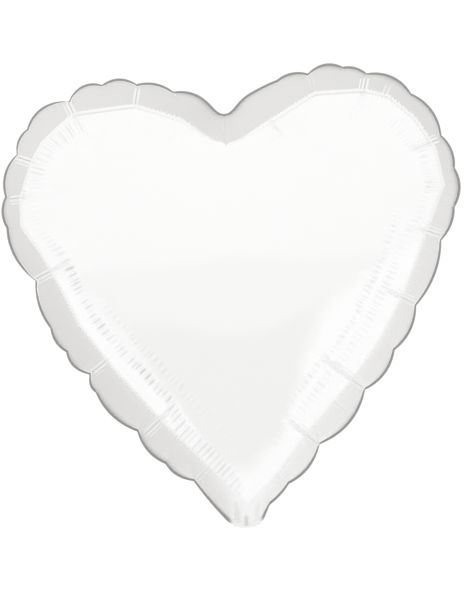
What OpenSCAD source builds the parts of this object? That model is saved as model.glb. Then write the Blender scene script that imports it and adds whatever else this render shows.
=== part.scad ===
// Heart-shaped foil balloon, inflated, with its self-sealing valve and its tail folded up behind.
// Frame: X to the right, Y to the back, Z up. The origin is the middle of the neck's fold line.

/* [Heart] */
// Width of the heart, between the outlines of its two lobes
heart_w = 396; // [300:1:600]
// Height of the heart, from the neck's fold line to the tops of the lobes
heart_h = 394; // [300:1:600]
// Thickness of the inflated heart, from front to back
heart_d = 168; // [100:1:240]
// Depth of the cleft below the tops of the lobes
cleft_d = 36; // [20:1:60]

/* [Film] */
// Thickness of each foil panel
foil_t = 0.5; // [0.2:0.05:0.8]
// Thickness of each ply of the valve
ply_t = 0.2; // [0.1:0.05:0.4]
// Width of the heat-sealed seam round the edge
seam_w = 2.2; // [1:0.1:5]

/* [Pleats] */
// How far a usual scallop bulges, as a share of the distance between its two pleats
scallop_rise = 0.1; // [0:0.01:0.2]
// How far in the scallops fade out, as a share of the way from the edge to the crown
scallop_fade = 0.3; // [0.2:0.05:0.6]
// Depth of the crease that runs in from each pleat
crease_d = 3; // [0:0.5:6]
// Distance over which a crease fades out
crease_reach = 30; // [10:1:60]

/* [Neck and tail] */
// Width of the neck and of the tail
neck_w = 24; // [16:1:40]
// Height of the flat neck above its fold line, before the film swells
neck_h = 3; // [2:0.5:8]
// Height over which the neck opens out to the full swell
neck_flare = 48; // [30:1:80]
// How far the neck's film reaches past the fold line
neck_lip = 1.6; // [1:0.1:3]
// Gap at the fold between the neck's film and the tail's film
fold_gap = 0.3; // [0.2:0.1:0.6]
// Length of the tail, from the fold line to its end
tail_l = 65; // [45:1:100]
// Radius of the tail's end corners
tail_corner_r = 3; // [1:0.5:8]
// Gap between the folded tail and the back of the heart, where they come closest
tail_rest_gap = 0.6; // [0.3:0.1:3]

/* [Valve] */
// Width of the side seams that leave the valve's plies free between them
valve_seam_w = 1.5; // [1:0.1:4]
// Length of the valve inside the heart, above the fold line
valve_length = 90; // [40:1:140]
// Radius of the corners at each end of the valve
valve_corner_r = 4; // [1:0.5:8]
// Distance from the valve's outer end to the end of the tail
valve_inset = 5; // [1:0.5:8]
// Diameter of the inlet hole that takes the filling nozzle
inlet_d = 10; // [6:0.5:12]
// Distance from the middle of the inlet hole to the end of the tail
inlet_edge = 15; // [13:0.5:30]

/* [Mesh] */
// Length of the facets along the seam
facet_l = 9; // [8:0.5:20]
// Number of rings of facets between the seam and the crown
rings = 8; // [5:1:9]

/* [Hidden] */
$fn = 48;

// Each pleat: its place along that half of the outline, in percent from the cleft to the neck,
// how far the outline is drawn in there, and how much the scallop after it bulges, 1 as usual
RIGHT_PLEATS = [
    [9, 1.5, 1], [13.5, 4, 1.5], [18.5, 0, 1], [22, 2.5, 1.1], [29, 1.5, 0.8], [36.5, 3.5, 0.9],
    [41.5, 0, 1.2], [47, 0, 0.9], [52, 6, 0.7], [62, 6.5, 1.1], [69, 4.5, 1.2], [76, 6.5, 1.3],
    [86, 8, 1.2], [93, 6, 0.5], [97, 6.5, 0]];
LEFT_PLEATS = [
    [4, -0.5, 0.8], [8, 5, 0.9], [13.5, 5, 1.4], [18.5, 4, 1.7], [24, 9, 1.3], [31.5, 4, 1.2],
    [35.5, 7, 1], [42, 3.5, 1.1], [46.5, 1.5, 0.9], [55, 10.5, 0.8], [62, 2, 1.2], [66, 2, 1.7],
    [70.5, 6.5, 1.9], [73, 0.5, 1], [81, 3.5, 1.2], [87, 0.5, 1.3], [91.5, 6.5, 0.2]];

half_w = heart_w / 2;
neck_half = neck_w / 2;
valve_w = neck_w - 2 * valve_seam_w;
stack_t = foil_t + ply_t;           // half the neck's thickness: one foil and one ply
crown = [0, 0.57 * heart_h];        // the middle of the heart, where it is thickest
curve_steps = 10;                   // straight pieces that stand for each curve
chord = 4;                          // reach to each side by which a direction is measured
ply_room = 0.6;                     // how far past the valve's edges the foil stays lifted
hair = 0.001;                       // keeps a division from zero

// Half of the outline, from the cleft to the neck, as cubic curves: end, handle, handle, end
CURVES = [
    [[0, heart_h - cleft_d], [0.04 * half_w, heart_h - cleft_d],
     [0.05 * half_w, heart_h - 0.72 * cleft_d], [0.11 * half_w, heart_h - 0.53 * cleft_d]],
    [[0.11 * half_w, heart_h - 0.53 * cleft_d], [0.2 * half_w, heart_h - 0.25 * cleft_d],
     [0.315 * half_w, heart_h], [0.455 * half_w, heart_h]],
    [[0.455 * half_w, heart_h], [0.77 * half_w, heart_h],
     [half_w, 0.89 * heart_h], [half_w, 0.74 * heart_h]],
    [[half_w, 0.74 * heart_h], [half_w, 0.6 * heart_h],
     [0.82 * half_w, 0.42 * heart_h], [0.58 * half_w, 0.275 * heart_h]],
    [[0.58 * half_w, 0.275 * heart_h], [0.43 * half_w, 0.185 * heart_h],
     [0.23 * half_w, 0.08 * heart_h], [neck_half, -neck_lip]]];

function unit(v) = v / norm(v);
function sum(list) = list * [for (v = list) 1];
function bezier(c, t) =
    pow(1 - t, 3) * c[0] + 3 * pow(1 - t, 2) * t * c[1]
    + 3 * (1 - t) * pow(t, 2) * c[2] + pow(t, 3) * c[3];

HALF = [
    for (c = CURVES, i = [0 : curve_steps - 1]) bezier(c, i / curve_steps),
    [neck_half, -neck_lip]];
LAST = len(HALF) - 1;

// Distance along the half outline at each of its points
RUN = [for (i = 0, s = 0; i <= LAST; i = i + 1, s = s + norm(HALF[min(i, LAST)] - HALF[i - 1])) s];
half_run = RUN[LAST];
RUN_X = [for (i = [0 : LAST]) [RUN[i], HALF[i][0]]];
RUN_Z = [for (i = [0 : LAST]) [RUN[i], HALF[i][1]]];

// The place on the right half at a distance s from the cleft, and the outward direction there
function along(s) = [lookup(s, RUN_X), lookup(s, RUN_Z)];
function outward(s) =
    let (d = along(min(s + chord, half_run)) - along(max(s - chord, 0)))
    s == 0 ? [0, 1] : unit([-d[1], d[0]]);

// One half's stations: [place on the smooth outline, outward direction, scallop, is a pleat].
// Between two pleats the scallop is a parabola; from the cleft to the first the film is taut.
function stations(pleats) =
    let (marks = [[0, 0, 0], each pleats, [100, 0, 0]], ends = len(marks) - 2)
    [for (i = [0 : ends])
        let (a = marks[i], b = marks[i + 1],
             start = a[0] / 100 * half_run, run = (b[0] - a[0]) / 100 * half_run,
             steps = max(2, round(run / facet_l)),
             rise = scallop_rise * a[2] * run)
        for (j = [0 : steps - 1])
            let (t = j / steps, s = start + run * t)
            [along(s), outward(s), 4 * rise * t * (1 - t) - a[1] * (1 - t) - b[1] * t,
             j == 0 && i > 0]];

// The stations all the way round: the right half, the neck's end from corner to corner with the
// edges of the valve, and the left half
ply_half = valve_w / 2 + ply_room;
RIGHT = stations(RIGHT_PLEATS);
LEFT = stations(LEFT_PLEATS);
STATIONS = [
    each RIGHT,
    for (x = [neck_half, ply_half, ply_half / 3, -ply_half / 3, -ply_half, -neck_half])
        [[x, -neck_lip], [0, -1], 0, false],
    for (i = [len(LEFT) - 1 : -1 : 1])
        let (s = LEFT[i]) [[-s[0][0], s[0][1]], [-s[1][0], s[1][1]], s[2], s[3]]];

// The smooth outline all the way round
LOOP = [each HALF, for (i = [LAST : -1 : 1]) [-HALF[i][0], HALF[i][1]]];

// The swell at p follows the sum, over the outline, of its length divided by its squared distance
// from p: an ellipse over a disc, and the like over a heart. A straight piece a-b adds the angle
// that it subtends at p, divided by p's distance from its line.
function pull(p, a, b) =
    let (u = a - p, v = b - p, cross = abs(u[0] * v[1] - u[1] * v[0]))
    atan2(cross, u * v) * PI / 180 * norm(b - a) / max(cross, hair);
function openness(p) =
    1 / sqrt(sum([for (i = [0 : len(LOOP) - 1]) pull(p, LOOP[i], LOOP[(i + 1) % len(LOOP)])]));
function flare(z) = z <= neck_h ? 0 : sqrt(1 - exp((neck_h - z) / neck_flare));
swell = (heart_d / 2 - foil_t) / (openness(crown) * flare(crown[1]));
function swell_at(p) = swell * openness(p) * flare(p[1]);

// Share of the way from the edge to the crown at ring k, close together near the edge
function share(k) = 1 - cos(90 * k / rings);

// How far the foil stands off the middle plane where the valve's plies pass under it
function lift(x) = abs(x) <= ply_half + hair ? ply_t : 0;

// The foil's outer face at ring k of a station
function face(st, k) =
    let (t = share(k),
         smooth = crown + (st[0] - crown) * (1 - t),
         at = smooth + st[1] * (st[2] - seam_w) * pow(max(0, 1 - t / scallop_fade), 2),
         crease = st[3] ? crease_d * exp(-norm(smooth - st[0]) / crease_reach) : 0,
         rise = k == 0 ? 0 : swell_at(smooth) - crease)
    [at[0], max(rise, lift(at[0])) + foil_t, at[1]];

// The tail is folded up until it leans on the back of the heart. Upright is 180 degrees, and each
// ring on the heart's middle line takes off the angle at which the tail just clears it.
MIDDLE = [[0, -neck_lip], [0, -1], 0, false];
LEANS = [
    for (k = [1 : rings - 1])
        let (p = face(MIDDLE, k), reach = norm([p[1], p[2]]))
        if (reach < tail_l) atan2(p[1], p[2]) + asin((stack_t + tail_rest_gap) / reach)];
fold_angle = floor(180 - max(LEANS));

// Distance from the fold line to the tail's film, so that it clears the neck's faces when it is
// folded and the corners of its lip on the way
tail_root = max(
    (stack_t * (1 - cos(fold_angle)) + fold_gap) / sin(fold_angle),
    norm([stack_t, neck_lip]) + fold_gap);
tail_film_l = tail_l - tail_root;

// The inner face behind ring k: square to the line from the ring before to the ring after,
// and flat on the seam at ring 0
function inner_face(outer, k) =
    let (t = outer[min(k + 1, rings)] - outer[max(k - 1, 0)],
         in = unit([t[0], t[2]]), turn = unit([norm([t[0], t[2]]), t[1]]),
         p = outer[k])
    [p[0] + in[0] * foil_t * turn[1],
     k == 0 ? p[1] - foil_t : p[1] - foil_t * turn[0],
     p[2] + in[1] * foil_t * turn[1]];

// A station's section, from the crown over the outer face to the seam and back inside
function section(st) =
    let (outer = [for (k = [0 : rings]) face(st, k)],
         edge = st[0] + st[1] * st[2], y = outer[0][1])
    [for (k = [rings - 1 : -1 : 0]) outer[k],
     [edge[0], y, edge[1]],
     [edge[0], y - foil_t, edge[1]],
     for (k = [0 : rings - 1]) inner_face(outer, k)];

// One panel with its seam flange, swelling towards +Y
module panel() {
    count = len(STATIONS);
    long = 2 * rings + 2;
    sections = [for (st = STATIONS) section(st)];
    top = swell_at(crown) + foil_t;
    function at(j, i) = 2 + (j % count) * long + i;
    polyhedron(
        points = [
            [crown[0], top, crown[1]],
            [crown[0], top - foil_t, crown[1]],
            for (s = sections) each s],
        faces = [
            for (j = [0 : count - 1]) each [
                [0, at(j, 0), at(j + 1, 0)],
                [1, at(j + 1, long - 1), at(j, long - 1)],
                for (i = [0 : long - 2]) each [
                    [at(j, i), at(j, i + 1), at(j + 1, i)],
                    [at(j + 1, i), at(j, i + 1), at(j + 1, i + 1)]]]]);
}

// A strip of film in the XZ plane from y = 0 to y = t, from z = 0 up to l, its far corners rounded
module strip(w, l, t, r) {
    corner = [for (a = [0 : 15 : 90]) r * [cos(a), sin(a)]];
    translate([0, t, 0])
        rotate([90, 0, 0])
            linear_extrude(t)
                polygon([
                    [-w / 2, 0], [w / 2, 0],
                    for (c = corner) [w / 2 - r + c[0], l - r + c[1]],
                    for (c = corner) [r - w / 2 - c[1], l - r + c[0]]]);
}

// Puts what is drawn hanging from the fold line, upside down, into the folded tail
module folded() {
    rotate([fold_angle, 0, 0])
        translate([0, 0, -tail_root])
            mirror([0, 0, 1])
                children();
}

// A foil of the tail on the +Y side: its film and the two side seams
module tail_foil() {
    translate([0, ply_t, 0]) strip(neck_w, tail_film_l, foil_t, tail_corner_r);
    for (side = [-1, 1])
        translate([side * (neck_w - valve_seam_w + hair) / 2, 0, 0])
            strip(valve_seam_w - hair, tail_film_l - tail_corner_r, ply_t, hair);
}

// A ply of the valve in the tail, on the +Y side
module tail_ply() {
    strip(valve_w, tail_film_l - valve_inset, ply_t, valve_corner_r);
}

module inlet_hole() {
    translate([0, -neck_half, tail_film_l - inlet_edge])
        rotate([-90, 0, 0])
            cylinder(d = inlet_d, h = neck_w);
}

module front_foil() { color("white") mirror([0, 1, 0]) panel(); }
module back_foil() { color("whitesmoke") panel(); }

module valve_ply() {
    translate([0, 0, -neck_lip]) strip(valve_w, valve_length + neck_lip, ply_t, valve_corner_r);
}
module valve_front_film() { color("lightblue") mirror([0, 1, 0]) valve_ply(); }
module valve_back_film() { color("lightcyan") valve_ply(); }

module tail_front_foil() { color("white") folded() mirror([0, 1, 0]) tail_foil(); }
module tail_back_foil() {
    color("whitesmoke") folded() difference() { tail_foil(); inlet_hole(); }
}
module tail_valve_front_film() { color("lightblue") folded() mirror([0, 1, 0]) tail_ply(); }
module tail_valve_back_film() {
    color("lightcyan") folded() difference() { tail_ply(); inlet_hole(); }
}

front_foil();
back_foil();
valve_front_film();
valve_back_film();
tail_front_foil();
tail_back_foil();
tail_valve_front_film();
tail_valve_back_film();
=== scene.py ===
"""Heart-shaped foil balloon: visible surfaces, materials, camera and light for the CAD frame."""

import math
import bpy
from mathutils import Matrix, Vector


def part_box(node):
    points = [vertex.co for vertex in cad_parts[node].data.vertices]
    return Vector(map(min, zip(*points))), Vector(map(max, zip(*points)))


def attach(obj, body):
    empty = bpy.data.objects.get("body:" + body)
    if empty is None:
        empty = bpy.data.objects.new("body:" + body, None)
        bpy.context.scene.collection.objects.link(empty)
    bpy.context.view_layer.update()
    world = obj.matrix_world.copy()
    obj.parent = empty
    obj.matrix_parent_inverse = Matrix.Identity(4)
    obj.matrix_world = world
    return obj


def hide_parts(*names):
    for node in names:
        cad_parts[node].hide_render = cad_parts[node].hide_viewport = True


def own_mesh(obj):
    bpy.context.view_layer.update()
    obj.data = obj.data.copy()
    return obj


bl_info = {
    "name": "Heart Foil Balloon",
    "version": (1, 0, 0),
    "blender": (4, 5, 0),
    "location": "3D View > Sidebar > Balloon",
    "description": "Builds a puckered heart foil balloon with its tail and valve",
    "category": "Object",
}

import bmesh
import bpy
import numpy as np
from mathutils import Matrix

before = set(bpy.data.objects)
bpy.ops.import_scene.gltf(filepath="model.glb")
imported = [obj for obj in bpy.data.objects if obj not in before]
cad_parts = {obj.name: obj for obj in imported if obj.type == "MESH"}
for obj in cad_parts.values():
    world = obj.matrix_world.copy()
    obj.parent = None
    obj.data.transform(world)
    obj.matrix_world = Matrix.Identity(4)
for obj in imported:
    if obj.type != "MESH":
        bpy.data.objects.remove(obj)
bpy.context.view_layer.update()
FOIL_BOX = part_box("back_foil")

MM = 0.001
PHOTO_W, PHOTO_H = 465, 594

# Places in the photograph, in pixels from its top left corner
IMAGE_POINTS = {
    "heart_left_x": 2,
    "heart_right_x": 460,
    "heart_top_y": 64,
    "heart_bottom_y": 529,
    "left_lobe_top_y": 80,
    "right_lobe_top_y": 65,
    "cleft": (224, 116),
    "neck_fold": (244, 528),
    "left_notch": (37, 280),
    "right_notch": (440, 237),
    "lower_left_notch": (138, 432),
    "lower_right_notch": (318, 443),
}

# Pleats of the seam: place in percent of the half outline from cleft to neck, how far the seam is
# drawn in there, mm, and how much the scallop after it bulges, 1 as usual
RIGHT_PLEATS = [
    (9, 1.5, 1), (13.5, 4, 1.5), (18.5, 0, 1), (22, 2.5, 1.1), (29, 1.5, 0.8), (36.5, 3.5, 0.9),
    (41.5, 0, 1.2), (47, 0, 0.9), (52, 6, 0.7), (62, 6.5, 1.1), (69, 4.5, 1.2), (76, 6.5, 1.3),
    (86, 8, 1.2), (93, 6, 0.5), (97, 6.5, 0)]
LEFT_PLEATS = [
    (4, -0.5, 0.8), (8, 5, 0.9), (13.5, 5, 1.4), (18.5, 4, 1.7), (24, 9, 1.3), (31.5, 4, 1.2),
    (35.5, 7, 1), (42, 3.5, 1.1), (46.5, 1.5, 0.9), (55, 10.5, 0.8), (62, 2, 1.2), (66, 2, 1.7),
    (70.5, 6.5, 1.9), (73, 0.5, 1), (81, 3.5, 1.2), (87, 0.5, 1.3), (91.5, 6.5, 0.2)]

# Deep creases: place in percent as above, how far in they reach in mm, and their depth as a share
RIGHT_CREASES = [
    (0, 23, 0.25), (13.5, 26, 0.25), (22, 32, 1), (25.5, 26, 0.5), (37, 42, 1), (51.5, 36, 1),
    (62, 44, 1), (76, 62, 1), (80, 34, 0.4), (86, 50, 1), (93, 30, 0.3)]
LEFT_CREASES = [
    (13, 32, 0.7), (24, 38, 1), (36, 36, 1), (42.5, 28, 1), (55, 50, 1), (70.5, 34, 0.9),
    (82, 46, 1), (91.5, 30, 0.5)]

# Corners of the shoulder, the line inside the seam where the steep side turns into the face: place
# in percent as above, and distance from the seam in mm
RIGHT_CORNERS = [
    (0, 32), (6, 33.5), (13.5, 25), (22, 20.5), (26, 17.5), (32, 18.5), (38, 16), (44, 13.5),
    (51.5, 23.5), (62, 23.5), (69, 22.5), (76, 23), (86, 25), (93, 21), (100, 22)]
LEFT_CORNERS = [
    (5, 27.5), (13, 27), (24, 24.5), (32, 26), (36, 26), (42.5, 20), (47, 17.5), (52.5, 28),
    (58, 30.5), (64, 28), (72, 29), (82, 28), (91.5, 27.5), (100, 25)]

# Numbers by place in percent as above, down the right half and down the left half
ALONG = {
    # strength of the fine puckers just past the shoulder
    "fine": (
        [(0, 0), (6, 0), (9, 0.3), (20, 0.1), (24, 0.4), (36, 0.4), (40, 0.5), (50, 0.5),
         (53, 0.3), (97, 0.3)],
        [(6, 0), (9, 0.3), (22, 0.2), (25, 0.4), (36, 0.4), (43, 0.5), (55, 0.1), (97, 0.1)]),
    # strength of the row of long puckers, and where it starts and ends, mm past the shoulder
    "long": (
        [(0, 0), (20, 0), (34, 0.2), (38, 0.4), (50, 0.4), (54, 0.15), (60, 0.4), (64, 0.4),
         (69, 0.2), (76, 0.4), (83, 0.4), (86, 0.1), (96, 0)],
        [(22, 0), (25, 0.7), (36, 0.7), (40, 0.2), (48, 0.1), (54, 0.8), (56, 1), (80, 1),
         (84, 0.75), (95, 0.75), (97, 0.3)]),
    "start": (
        [(0, 12), (36, 12), (38, 6), (50, 6), (53, 12), (97, 13)],
        [(22, 11), (25, 0), (37, 0), (40, 6), (55, 10), (81, 10), (85, -1), (97, -1)]),
    "end": (
        [(0, 23), (36, 23), (38, 16), (50, 16), (53, 23), (97, 24)],
        [(22, 22), (25, 16), (37, 16), (40, 17), (55, 21), (81, 21), (85, 16), (97, 14)]),
    # strength of the fainter row of them farther in
    "lace": (
        [(0, 0), (49, 0), (52, 0.5), (80, 0.5), (85, 0.1), (90, 0)],
        [(62, 0), (66, 0.35), (80, 0.4), (84, 0.1), (96, 0)]),
    # strength of the painted highlight line along the shoulder, how ragged it is, and strength of
    # the painted shade line just inside it
    "rim": (
        [(0, 0), (2, 0.5), (14, 0.9), (22, 1), (33, 0.9), (50, 0.9), (60, 0.5), (97, 0.5)],
        [(2, 0.5), (4, 0.8), (22, 0.9), (36, 1), (48, 1), (55, 0.8), (80, 0.8), (97, 0.5)]),
    "ragged": (
        [(0, 0.5), (3, 1), (12, 0.9), (14, 0.1), (22, 0.1), (24, 1), (35, 1), (38, 0.1), (50, 0.1),
         (55, 0.8), (97, 0.7)],
        [(3, 1), (11, 1), (14, 0.1), (23, 0.1), (28, 0.3), (48, 0.1), (55, 0.5), (60, 1),
         (97, 0.8)]),
    "painted_inner_shade": (
        [(0, 0), (3, 0.8), (12, 0.9), (36, 0.9), (38, 0.1), (97, 0.1)],
        [(3, 0.8), (12, 0.9), (23, 0.9), (25, 0.2), (36, 0), (97, 0.1)]),
}


# ---- sizes and colours

def metres(name, description, default):
    """A length that a user can change."""
    return bpy.props.FloatProperty(
        name=name, description=description, default=default, unit="LENGTH")


def colour(name, description, default):
    """A colour that a user can change."""
    return bpy.props.FloatVectorProperty(
        name=name, description=description, default=default, subtype="COLOR")


class BalloonSizes(bpy.types.PropertyGroup):
    """Sizes of the balloon, the same as the solids'"""

    heart_w: metres("Heart width", "Between the outlines of the two lobes", 0.396)
    heart_h: metres("Heart height", "From the neck's fold line to the tops of the lobes", 0.394)
    heart_d: metres("Heart thickness", "Front to back when inflated", 2 * FOIL_BOX[1][1])
    cleft_d: metres("Cleft depth", "Below the tops of the lobes", 0.036)
    foil_t: metres("Foil thickness", "Thickness of one foil panel", 0.0005)
    ply_t: metres("Valve ply thickness", "Thickness of one ply of the valve", 0.0002)
    seam_w: metres("Seam width", "Width of the heat-sealed seam round the edge", 0.0022)
    neck_w: metres("Neck width", "Width of the neck and the tail", 0.024)


class FilmSettings(bpy.types.PropertyGroup):
    """How the film puckers and creases"""

    pucker_pitch: metres("Pucker pitch", "Distance between two puckers at the seam", 0.0054)
    pucker_depth: metres("Pucker depth", "Depth of the long puckers", 0.00045)
    crease_depth: metres(
        "Crease depth", "Depth of the creases that run in from the pleats", 0.0012)
    seed: bpy.props.IntProperty(
        name="Seed", description="Start of the random draws for the puckers", default=7)


class FilmColours(bpy.types.PropertyGroup):
    """Colours of the films"""

    white: colour("White", "The printed face of the foil", (0.96, 0.955, 0.953))
    silver: colour("Silver", "The bare metal layer at the cut edge", (0.33, 0.325, 0.32))
    lining: colour("Lining", "The foil's inner face", (0.62, 0.62, 0.62))
    clear: colour("Clear film", "The valve's film", (0.86, 0.89, 0.91))


class StageSettings(bpy.types.PropertyGroup):
    """Camera and floor"""

    camera_away: metres("Camera distance", "From the heart's middle plane", 2.2)
    aim_x: metres("Aim X", "Where the camera looks", -0.0017)
    aim_z: metres("Aim Z", "Where the camera looks", 0.1985)
    roll: bpy.props.FloatProperty(
        name="Roll", description="Turn of the camera about its own axis",
        default=math.radians(-3.2), subtype="ANGLE")
    lens: bpy.props.FloatProperty(
        name="Lens", description="Focal length in millimetres", default=153.3)
    floor_drop: metres("Floor", "Height of the floor below the neck's fold line", 0.45)
    floor_reach: metres("Floor radius", "Radius of the round floor", 3.0)


# ---- shape of the heart

NECK_LIP = 1.6 * MM       # how far the neck's film reaches past the fold line
NECK_FLAT = 0.5 * MM      # height above the fold line where the neck starts to open
NECK_FLARE = 48 * MM      # height over which the neck opens out
NECK_ROUND = 9 * MM       # run to each side of a neck corner over which it is rounded
NECK_CUT = 2.6 * MM       # how far the corner itself is drawn in
NECK_SAG = 1.0 * MM       # how far the fold sags in its middle
CROWN = (0.0, 0.57)       # the middle of the heart, as shares of its width and height
CHORD = 4 * MM            # reach to each side by which the outline's direction is measured
STATIONS = 2176           # stations round the outline, a multiple of 32
CURVE_POINTS = 61         # points of each of the outline's curves
FINE_PART = 96            # points of the half outline, from the cleft, that are all kept
STEEP, FACE = 43.5, 38.5  # slope of the side just before its shoulder and just after, degrees
SHORT_FADE, LONG_FADE = 12 * MM, 45 * MM  # limits to the distance over which a shoulder fades
LEAST_SLOPES, MOST_SLOPE = (0.06, 0.05), 0.35  # limits to what a shoulder adds before and past it
MOST_LEAN = 0.5           # limit to the slope along the seam that is reckoned with there
EVEN, EVEN_AT_CLEFT = 9, 44  # stations to each side over which shoulders are evened out


def bezier(ends, t):
    """A cubic curve: its four points weighted by (1-t)^3, 3(1-t)^2 t, 3(1-t)t^2 and t^3."""
    p, t = ends[:, None], t[:, None]
    return (1 - t)**3 * p[0] + 3 * (1 - t)**2 * t * p[1] + 3 * (1 - t) * t**2 * p[2] + t**3 * p[3]


def half_outline(size):
    """Half the heart's outline from cleft to neck: five cubic curves end to end.

    Gives the distance run along it at each point, and the points' x and z.
    """
    a, h, c = size.heart_w / 2, size.heart_h, size.cleft_d
    knots = np.array([
        (0, h - c), (0.04 * a, h - c), (0.05 * a, h - 0.72 * c),
        (0.11 * a, h - 0.53 * c), (0.2 * a, h - 0.25 * c), (0.315 * a, h),
        (0.455 * a, h), (0.77 * a, h), (a, 0.89 * h),
        (a, 0.74 * h), (a, 0.6 * h), (0.82 * a, 0.42 * h),
        (0.58 * a, 0.275 * h), (0.43 * a, 0.185 * h), (0.23 * a, 0.08 * h),
        (size.neck_w / 2, -NECK_LIP)])
    t = np.linspace(0, 1, CURVE_POINTS)
    curves = [bezier(knots[i:i + 4], t)[1:] for i in range(0, len(knots) - 1, 3)]
    points = np.vstack([knots[:1], *curves])
    return run_along(points), points


def run_along(points):
    """Distance run from the first point to each, by straight steps."""
    return np.concatenate([[0], np.cumsum(np.hypot(*np.diff(points, axis=0).T))])


def lookup(run, table_run, table):
    """Points of the table at the distances run, by straight interpolation."""
    return np.stack([np.interp(run, table_run, table[:, i]) for i in range(2)], axis=1)


def unit(vectors):
    """The vectors, brought to a length of one."""
    return vectors / np.hypot(*vectors.T)[:, None]


def smooth_step(x, a, b):
    """A smooth S from 0 at a to 1 at b, whichever is higher, and flat past both."""
    t = np.clip((x - a) / (b - a), 0, 1)
    return t * t * (3 - 2 * t)


def scallops(run, half_run, pleats):
    """How far the seam bulges outward: between two pleats a parabola whose usual height is a
    tenth of their distance, less the straight line between the depths they are drawn in."""
    marks = np.array([(0, 0, 0), *pleats, (100, 0, 0)], dtype=float)
    place, drawn = marks[:, 0] / 100 * half_run, marks[:, 1] * MM
    i = np.clip(np.searchsorted(place, run, side="right") - 1, 0, len(place) - 2)
    gap = place[i + 1] - place[i]
    t = np.clip((run - place[i]) / gap, 0, 1)
    return 0.4 * marks[i, 2] * gap * t * (1 - t) - drawn[i] * (1 - t) - drawn[i + 1] * t


def stations(size):
    """The stations round the heart, equally far apart along its smooth outline: the right half
    from cleft to neck, the fold from right to left, and the left half back up.

    The neck's corners are rounded: near them the outward direction turns evenly from the side's
    to straight down, and the seam is drawn in by a parabola. "cut" is 1 at the cut seam and 0 at
    the fold. "side" is the outward direction before that turn.
    """
    run, points = half_outline(size)
    half_run = run[-1]
    total = 2 * half_run + size.neck_w
    u = np.arange(STATIONS) / STATIONS * total
    right, left = u < half_run, u > half_run + size.neck_w
    fold = ~(right | left)
    down = np.where(left, total - u, np.minimum(u, half_run))
    place = lookup(down, run, points)
    ahead, behind = (lookup(np.clip(down + way, 0, half_run), run, points)
                     for way in (CHORD, -CHORD))
    out = (ahead - behind)[:, ::-1] * (-1, 1)
    out[down < 0.5 * MM] = (0, 1)
    out = unit(out)
    bulge = np.where(right, scallops(down, half_run, RIGHT_PLEATS),
                     scallops(down, half_run, LEFT_PLEATS))
    place[left, 0] *= -1
    out[left, 0] *= -1
    across = size.neck_w / 2 - (u[fold] - half_run)
    place[fold] = np.stack([across, np.full_like(across, -NECK_LIP)], axis=1)
    bulge[fold] = NECK_SAG * (1 - (2 * across / size.neck_w)**2)

    picked = [*range(FINE_PART), *range(FINE_PART, len(run) - 1, 3), len(run) - 1]
    past = size.neck_w / 2 - np.abs(u - total / 2)
    turn = np.clip(0.5 + past / NECK_ROUND / 2, 0, 1)[:, None]
    neck_side = out[np.argmin(np.abs(u - half_run + 0.5 * NECK_ROUND))]
    out[fold] = np.where(across[:, None] < 0, neck_side * (-1, 1), neck_side)
    side = out.copy()
    out = unit(out * (1 - turn) + np.array([0, -1]) * turn)
    bulge -= NECK_CUT * np.clip(1 - np.abs(past) / NECK_ROUND, 0, 1)**2
    return {"u": u, "total": total, "half": half_run, "place": place, "out": out, "side": side,
            "fold": fold, "bulge": bulge, "cut": smooth_step(past, 1 * MM, -9 * MM),
            "loop": (run[picked], points[picked])}


def percent_place(st, side, percent):
    """Distance round the loop at a percentage of its right (1) or left (-1) half."""
    return side * percent / 100 * st["half"] % st["total"]


def station_at(st, side, percent):
    """Number of the station nearest to such a place."""
    return round(percent_place(st, side, percent) / st["total"] * STATIONS) % STATIONS


def by_percent(st, right, left, u):
    """Numbers at the places u, by straight interpolation between those of the two halves."""
    table = [(percent_place(st, side, percent), number)
             for side, half in ((1, right), (-1, left[::-1])) for percent, number in half]
    return np.interp(u, *np.array(table).T, period=st["total"])


def measure(p, loop):
    """How far a film held along the loop can swell at the points p, and where they lie.

    The swell is one over the root of the sum, along the loop, of its length divided by its
    squared distance from p: a straight piece adds the angle that it subtends at p divided by p's
    distance from its line. It closes to nothing at the neck: the root of one less a falling
    exponential of the height. "near" is p's distance from the loop, "reach" and "foot" those from
    its right and left halves and the run down them at the nearest places.
    """
    total = np.zeros(len(p))
    near = np.full(len(p), np.inf)
    reach, foot = np.full((2, len(p)), np.inf), np.zeros((2, len(p)))
    run, points = loop
    pieces = [(side, run[i], points[i] * (sign, 1), points[i + 1] * (sign, 1))
              for side, sign in enumerate((1, -1)) for i in range(len(run) - 1)]
    pieces.append((None, 0, points[-1], points[-1] * (-1, 1)))
    for side, start, a, b in pieces:
        u, v, along = a - p, b - p, b - a
        length = np.hypot(*along)
        cross = np.abs(u[:, 0] * v[:, 1] - u[:, 1] * v[:, 0])
        total += np.arctan2(cross, (u * v).sum(axis=1)) * length / np.maximum(cross, 1e-9)
        t = np.clip(-(u @ along) / length**2, 0, 1)
        away = np.hypot(*(u + t[:, None] * along).T)
        near = np.minimum(near, away)
        if side is not None:
            closer = away < reach[side]
            reach[side][closer] = away[closer]
            foot[side][closer] = start + t[closer] * length
    return {"swell": neck_opening(p[:, 1]) / np.sqrt(total), "near": near, "reach": reach,
            "foot": foot}


def neck_opening(z):
    """How far the neck has opened at height z: the root of one less a falling exponential."""
    return np.sqrt(np.maximum(0, 1 - np.exp(np.minimum(0, (NECK_FLAT - z) / NECK_FLARE))))


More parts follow.
